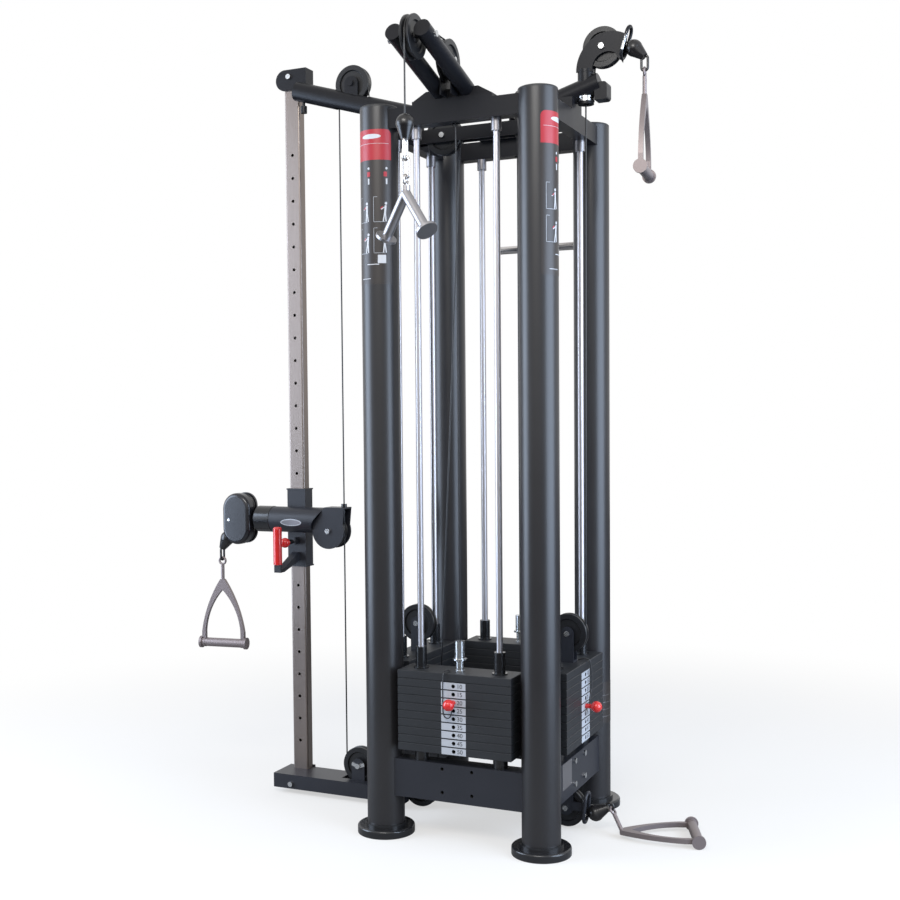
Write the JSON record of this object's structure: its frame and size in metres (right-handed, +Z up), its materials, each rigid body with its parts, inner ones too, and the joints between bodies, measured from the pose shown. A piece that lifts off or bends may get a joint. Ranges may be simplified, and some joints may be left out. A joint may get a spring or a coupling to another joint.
{
  "type": "cable crossover machine",
  "caption": "Weight-stack cable tower with round columns, sloping pulley arms, a height-adjustable side arm, swivel pulley heads and hanging pull handles.",
  "frame": {"origin": "middle of the base of the whole machine's box, on the floor", "axes": "+Z up, -Y towards the station with the V-shaped pull-down bar, -X towards the height-adjustable side arm"},
  "size_m": [1.8712, 1.3428, 2.55],
  "materials": {
    "column_finish": "satin dark charcoal powder coat",
    "frame_finish": "satin dark charcoal powder coat",
    "upright_finish": "brushed and plated steel",
    "chrome": "polished",
    "plate_finish": "black painted",
    "pulley_plastic": "moulded",
    "cable_coat": "black plastic coat over steel cable",
    "red_plastic": "glossy",
    "cord_rubber": "thin moulded cord",
    "rubber": "moulded, with steel links",
    "cast_aluminium": "cast and tumbled",
    "bar_chrome": "polished",
    "cheek_plastic": "dark moulded shell"
  },
  "bodies": {
    "frame": {"column_front_left": "column_finish", "column_front_right": "column_finish", "column_rear_right": "column_finish", "column_rear_left": "column_finish", "upper_frame": "frame_finish", "lower_frame": "frame_finish", "top_pulleys": "pulley_plastic", "guide_rods_front": "chrome", "guide_rods_right": "chrome", "guide_rods_rear": "chrome", "guide_rods_left": "chrome", "resting_plates": "plate_finish", "front_arms": "frame_finish", "rear_arms": "frame_finish", "fixed_cables": "cable_coat", "base_beam": "frame_finish", "upright": "upright_finish", "top_arm": "frame_finish", "right_arm": "frame_finish"},
    "lift_front": {"lifted_stack_front": "plate_finish", "lift_cable_front": "cable_coat", "pin_lanyard_front": "cord_rubber"},
    "pin_front": {"selector_pin_front": "red_plastic"},
    "lift_right": {"lifted_stack_right": "plate_finish", "lift_cable_right": "cable_coat", "pin_lanyard_right": "cord_rubber"},
    "pin_right": {"selector_pin_right": "red_plastic"},
    "lift_rear": {"lifted_stack_rear": "plate_finish", "lift_cable_rear": "cable_coat"},
    "pin_rear": {"selector_pin_rear": "red_plastic"},
    "lift_left": {"lifted_stack_left": "plate_finish", "lift_cable_left": "cable_coat"},
    "pin_left": {"selector_pin_left": "red_plastic"},
    "pull_front": {"front_cable_end": "rubber"},
    "front_inner_pulley": {"front_inner_pulley": "pulley_plastic"},
    "front_nose_pulley": {"front_nose_pulley": "pulley_plastic"},
    "pull_rear": {"rear_cable_end": "rubber"},
    "rear_inner_pulley": {"rear_inner_pulley": "pulley_plastic"},
    "rear_nose_pulley": {"rear_nose_pulley": "pulley_plastic"},
    "v_bar": {"v_bar": "cast_aluminium"},
    "straight_bar": {"straight_bar": "bar_chrome"},
    "left_floor_pulley": {"left_floor_pulley": "pulley_plastic"},
    "outrigger_base_pulley": {"outrigger_base_pulley": "pulley_plastic"},
    "right_floor_pulley": {"right_floor_pulley": "pulley_plastic"},
    "floating_pulley_left": {"floating_pulley_left": "pulley_plastic"},
    "floating_pulley_right": {"floating_pulley_right": "pulley_plastic"},
    "carriage": {"carriage": "frame_finish"},
    "outrigger_top_pulley": {"outrigger_top_pulley": "pulley_plastic"},
    "carriage_pulley": {"carriage_pulley": "pulley_plastic"},
    "pop_pin": {"pop_pin": "red_plastic"},
    "swivel_head": {"swivel_head": "cheek_plastic", "swivel_pulleys": "pulley_plastic"},
    "pull_left": {"left_cable_end": "rubber"},
    "left_stirrup": {"left_stirrup": "cast_aluminium"},
    "right_head": {"right_head": "frame_finish"},
    "right_head_pulley": {"right_head_pulley": "pulley_plastic"},
    "pull_high": {"high_cable_end": "rubber"},
    "high_stirrup": {"high_stirrup": "cast_aluminium"},
    "pull_low": {"low_cable_end": "rubber", "low_stirrup": "cast_aluminium"}
  },
  "joints": [
    {"name": "lift_front", "type": "slide", "parent": "frame", "child": "lift_front", "axis": [0, 0, 1], "range_m": [0, 1.2], "deforming": ["lift_cable_front"]},
    {"name": "pin_front", "type": "slide", "parent": "lift_front", "child": "pin_front", "axis": [0, -1, 0], "range_m": [0, 0.075]},
    {"name": "lift_right", "type": "slide", "parent": "frame", "child": "lift_right", "axis": [0, 0, 1], "range_m": [0, 1.2], "deforming": ["lift_cable_right"]},
    {"name": "pin_right", "type": "slide", "parent": "lift_right", "child": "pin_right", "axis": [1, 0, 0], "range_m": [0, 0.075]},
    {"name": "lift_rear", "type": "slide", "parent": "frame", "child": "lift_rear", "axis": [0, 0, 1], "range_m": [0, 1.2], "deforming": ["lift_cable_rear"]},
    {"name": "pin_rear", "type": "slide", "parent": "lift_rear", "child": "pin_rear", "axis": [0, 1, 0], "range_m": [0, 0.075]},
    {"name": "lift_left", "type": "slide", "parent": "frame", "child": "lift_left", "axis": [0, 0, 1], "range_m": [0, 0.6], "deforming": ["lift_cable_left"]},
    {"name": "pin_left", "type": "slide", "parent": "lift_left", "child": "pin_left", "axis": [-1, 0, 0], "range_m": [0, 0.075]},
    {"name": "pull_front", "type": "slide", "parent": "frame", "child": "pull_front", "axis": [0, 0, -1], "range_m": [0, 1.2]},
    {"name": "front_inner_pulley_turn", "type": "hinge", "parent": "frame", "child": "front_inner_pulley", "pos_m": [0.21789, -0.3016, 2.398], "axis": [1, 0, 0], "range_deg": [0, 1233]},
    {"name": "front_nose_pulley_turn", "type": "hinge", "parent": "frame", "child": "front_nose_pulley", "pos_m": [0.21789, -0.5466, 2.402], "axis": [1, 0, 0], "range_deg": [0, 1233]},
    {"name": "pull_rear", "type": "slide", "parent": "frame", "child": "pull_rear", "axis": [0, 0, -1], "range_m": [0, 1.2]},
    {"name": "rear_inner_pulley_turn", "type": "hinge", "parent": "frame", "child": "rear_inner_pulley", "pos_m": [0.21789, 0.3444, 2.398], "axis": [1, 0, 0], "range_deg": [-1233, 0]},
    {"name": "rear_nose_pulley_turn", "type": "hinge", "parent": "frame", "child": "rear_nose_pulley", "pos_m": [0.21789, 0.5894, 2.402], "axis": [1, 0, 0], "range_deg": [-1233, 0]},
    {"name": "v_bar_turn", "type": "hinge", "parent": "pull_front", "child": "v_bar", "pos_m": [0.21789, -0.6026, 1.99368], "axis": [0, 0, 1], "continuous": true},
    {"name": "straight_bar_turn", "type": "hinge", "parent": "pull_rear", "child": "straight_bar", "pos_m": [0.21789, 0.6454, 1.99368], "axis": [0, 0, 1], "continuous": true},
    {"name": "left_floor_pulley_turn", "type": "hinge", "parent": "frame", "child": "left_floor_pulley", "pos_m": [-0.04211, 0.0214, 0.067], "axis": [0, 1, 0], "range_deg": [0, 1233]},
    {"name": "outrigger_base_pulley_turn", "type": "hinge", "parent": "frame", "child": "outrigger_base_pulley", "pos_m": [-0.27611, 0.0214, 0.12], "axis": [0, 1, 0], "range_deg": [0, 1233]},
    {"name": "right_floor_pulley_turn", "type": "hinge", "parent": "frame", "child": "right_floor_pulley", "pos_m": [0.47789, 0.0214, 0.067], "axis": [0, 1, 0], "range_deg": [-1233, 0]},
    {"name": "floating_pulley_left_turn", "type": "hinge", "parent": "lift_left", "child": "floating_pulley_left", "pos_m": [-0.04911, 0.0214, 0.633], "axis": [0, 1, 0], "range_deg": [-619, 0]},
    {"name": "floating_pulley_right_turn", "type": "hinge", "parent": "lift_right", "child": "floating_pulley_right", "pos_m": [0.48489, 0.0214, 0.633], "axis": [0, 1, 0], "continuous": true},
    {"name": "carriage", "type": "slide", "parent": "frame", "child": "carriage", "axis": [0, 0, 1], "range_m": [-0.48, 1.28]},
    {"name": "outrigger_top_pulley_turn", "type": "hinge", "parent": "frame", "child": "outrigger_top_pulley", "pos_m": [-0.27611, 0.0214, 2.46313], "axis": [0, 1, 0], "range_deg": [-497, 1315]},
    {"name": "carriage_pulley_turn", "type": "hinge", "parent": "carriage", "child": "carriage_pulley", "pos_m": [-0.38211, 0.0214, 0.935], "axis": [0, 1, 0], "range_deg": [-1381, 0]},
    {"name": "pop_pin", "type": "slide", "parent": "carriage", "child": "pop_pin", "axis": [0, -1, 0], "range_m": [-0.008, 0.004]},
    {"name": "swivel_head_turn", "type": "hinge", "parent": "carriage", "child": "swivel_head", "pos_m": [-0.67811, 0.0214, 0.97], "axis": [1, 0, 0], "range_deg": [-90, 90]},
    {"name": "pull_left", "type": "slide", "parent": "swivel_head", "child": "pull_left", "axis": [-1, 0, 0], "range_m": [0, 1.2]},
    {"name": "left_stirrup_turn", "type": "hinge", "parent": "pull_left", "child": "left_stirrup", "pos_m": [-0.84054, 0.0214, 0.81085], "axis": [-0.1392, 0.9903, 0], "range_deg": [-38, 60]},
    {"name": "right_head_turn", "type": "hinge", "parent": "frame", "child": "right_head", "pos_m": [0.54789, 0.0214, 2.4], "axis": [0, 0, 1], "range_deg": [-55, 55]},
    {"name": "right_head_pulley_turn", "type": "hinge", "parent": "right_head", "child": "right_head_pulley", "pos_m": [0.60389, 0.0214, 2.472], "axis": [0, 1, 0], "range_deg": [0, 1233]},
    {"name": "pull_high", "type": "slide", "parent": "right_head", "child": "pull_high", "axis": [0.7363, 0, -0.6766], "range_m": [0, 1.2]},
    {"name": "high_stirrup_turn", "type": "hinge", "parent": "pull_high", "child": "high_stirrup", "pos_m": [0.73497, 0.0214, 2.38191], "axis": [-0.9945, -0.1045, 0], "range_deg": [-60, 60]},
    {"name": "pull_low", "type": "slide", "parent": "frame", "child": "pull_low", "axis": [0.8726, 0, 0.4884], "range_m": [0, 1.2]}
  ],
  "couplings": [
    {"joint": "pull_front", "follows": "lift_front", "ratio": 1},
    {"joint": "front_inner_pulley_turn", "follows": "lift_front", "rad_per_m": 17.857},
    {"joint": "front_nose_pulley_turn", "follows": "lift_front", "rad_per_m": 17.857},
    {"joint": "pull_rear", "follows": "lift_rear", "ratio": 1},
    {"joint": "rear_inner_pulley_turn", "follows": "lift_rear", "rad_per_m": -17.857},
    {"joint": "rear_nose_pulley_turn", "follows": "lift_rear", "rad_per_m": -17.857},
    {"joint": "left_floor_pulley_turn", "follows": "lift_left", "rad_per_m": 35.714},
    {"joint": "outrigger_base_pulley_turn", "follows": "lift_left", "rad_per_m": 35.714},
    {"joint": "right_floor_pulley_turn", "follows": "lift_right", "rad_per_m": -17.857},
    {"joint": "floating_pulley_left_turn", "follows": "lift_left", "rad_per_m": -17.857},
    {"joint": "outrigger_top_pulley_turn", "follows": "carriage", "rad_per_m": 17.857},
    {"joint": "carriage_pulley_turn", "follows": "lift_left", "rad_per_m": -40},
    {"joint": "pull_left", "follows": "lift_left", "ratio": 2},
    {"joint": "right_head_pulley_turn", "follows": "lift_right", "rad_per_m": 17.857},
    {"joint": "pull_high", "follows": "lift_right", "ratio": 1},
    {"joint": "pull_low", "follows": "lift_right", "ratio": 1}
  ]
}
